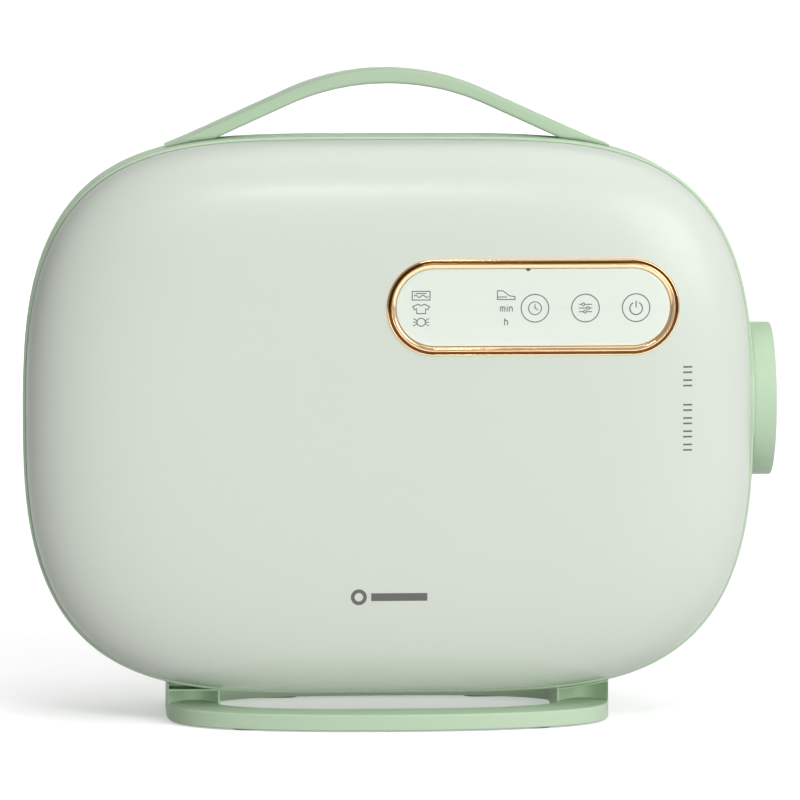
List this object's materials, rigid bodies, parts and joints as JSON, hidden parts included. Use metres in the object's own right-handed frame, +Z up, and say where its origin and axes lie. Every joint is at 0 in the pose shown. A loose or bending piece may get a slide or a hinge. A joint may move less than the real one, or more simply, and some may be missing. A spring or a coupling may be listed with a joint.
{
  "type": "portable quilt and clothes dryer",
  "caption": "Pillow-shaped portable hot-air dryer with an arched carry handle, a ring stand, a gold-rimmed touch panel and a round hose outlet on its side.",
  "frame": {"origin": "on the floor, under the middle of the bounding box; the body's centre plane lies 4.7 mm to its left because the outlet collar stands out on the right", "axes": "+X towards the hose outlet, +Y from the front cover to the back, +Z up"},
  "size_m": [0.3081, 0.13, 0.2666],
  "materials": {
    "cover_mint_white": "satin moulded ABS, pale grey-mint",
    "housing_green": "fine satin moulded ABS, sage green",
    "handle_green": "fine satin moulded plastic, sage green",
    "bezel_gold": "polished champagne-gold plated trim",
    "lens_white": "glossy printed panel lens",
    "seal_dark": "soft silicone seal",
    "rubber_dark": "moulded rubber",
    "white_plastic": "plain moulded plastic",
    "grey_plastic": "plain moulded plastic",
    "dark_plastic": "flame-retardant moulded plastic",
    "duct_grey": "heat-resistant glass-filled plastic",
    "steel_zinc": "zinc-plated steel",
    "steel_dark": "laminated electrical steel",
    "aluminium_fin": "rolled aluminium sheet",
    "ceramic_brown": "insulated ceramic heating strip",
    "brass_tab": "tinned brass blade",
    "copper_wire": "enamelled copper winding",
    "board_green": "solder-masked circuit board",
    "filter_grey": "woven nylon mesh",
    "capacitor_sleeve": "shrink sleeve",
    "ivory_plastic": "moulded nylon"
  },
  "bodies": {
    "body": {"front_cover": "cover_mint_white", "rear_housing": "housing_green", "cover_seal": "seal_dark", "housing_screws": "steel_zinc", "panel_bezel": "bezel_gold", "panel_lens": "lens_white", "panel_carrier": "white_plastic", "light_guide": "white_plastic", "display_module": "dark_plastic", "touch_springs": "steel_zinc", "control_board": "board_green", "control_board_screws": "steel_zinc", "outlet_collar": "housing_green", "outlet_guard": "dark_plastic", "outlet_duct": "duct_grey", "handle": "handle_green", "handle_screws": "steel_zinc", "handle_clamps": "steel_zinc", "stand": "housing_green", "stand_screws": "steel_zinc", "rubber_feet": "rubber_dark", "inlet_seat": "housing_green", "cord_gland": "rubber_dark", "gland_nut": "dark_plastic", "blower_front": "grey_plastic", "blower_back": "grey_plastic", "blower_screws": "steel_zinc", "inlet_bellmouth": "grey_plastic", "damper_grommets": "rubber_dark", "motor_stator": "steel_dark", "motor_windings": "copper_wire", "motor_can": "steel_zinc", "motor_end_shield": "steel_zinc", "motor_bearings": "steel_zinc", "motor_screws": "steel_zinc", "heater_duct": "duct_grey", "heater_frame": "aluminium_fin", "heater_fins": "aluminium_fin", "ptc_strips": "ceramic_brown", "heater_terminals": "brass_tab", "thermostat": "dark_plastic", "thermal_fuse": "ivory_plastic", "air_sensor": "dark_plastic", "power_board": "board_green", "board_capacitors": "capacitor_sleeve", "transformer": "ivory_plastic", "heat_sink": "aluminium_fin", "power_relay": "dark_plastic", "terminal_block": "ivory_plastic", "power_board_screws": "steel_zinc"},
    "rotor": {"impeller": "white_plastic", "impeller_nut": "steel_zinc", "motor_shaft": "steel_zinc", "motor_rotor": "steel_dark"},
    "inlet_lid": {"inlet_cover": "housing_green", "filter_frame": "dark_plastic", "filter_mesh": "filter_grey"}
  },
  "joints": [
    {"name": "impeller_spin", "type": "hinge", "parent": "body", "child": "rotor", "pos_m": [-0.0547, 0, 0.0867], "axis": [0, 1, 0], "continuous": true},
    {"name": "inlet_lid_pull", "type": "slide", "parent": "body", "child": "inlet_lid", "axis": [0, 1, 0], "range_m": [0, 0.03]}
  ]
}
